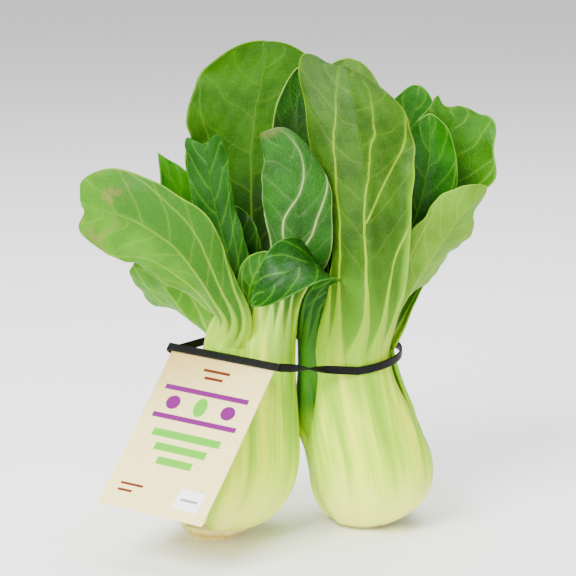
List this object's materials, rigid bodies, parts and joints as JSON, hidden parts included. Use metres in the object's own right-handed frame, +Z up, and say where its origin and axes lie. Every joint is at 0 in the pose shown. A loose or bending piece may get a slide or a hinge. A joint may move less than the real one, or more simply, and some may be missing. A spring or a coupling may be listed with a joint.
{
  "type": "bok choy bunch",
  "caption": "Tied pair of upright Shanghai bok choy heads with bulbous pale stalks, rounded green blades, a flat strap round the necks and a card tag",
  "frame": {"origin": "bottom centre of the bounding box: the two cut stem ends rest on z = 0", "axes": "+Z up along the heads, +X from the leaning head to the upright one, the tag and the front leaves on the -Y side"},
  "size_m": [0.1758, 0.1229, 0.2133],
  "materials": {
    "leaf": "waxy leaf, dark green blade running into a pale green-white ribbed stalk",
    "stem": "dry tan cut end, rough and slightly browned",
    "strap": "flat black plastic strap, slight sheen",
    "tag": null
  },
  "bodies": {
    "root": {"right_leaf_front": "leaf", "right_leaf_back": "leaf", "right_leaf_inner_back": "leaf", "right_leaf_back_right": "leaf", "right_leaf_folded_left": "leaf", "right_leaf_low_right": "leaf", "right_leaf_upright_right": "leaf", "right_leaf_inner_left": "leaf", "right_leaf_heart": "leaf", "left_leaf_front": "leaf", "left_leaf_spread_left": "leaf", "left_leaf_back": "leaf", "left_leaf_low_left": "leaf", "left_leaf_small": "leaf", "left_leaf_right": "leaf", "left_leaf_inner_back": "leaf", "left_leaf_torn": "leaf", "left_leaf_heart": "leaf", "left_stem": "stem", "right_stem": "stem", "strap": "strap", "tag": "tag"}
  },
  "joints": []
}
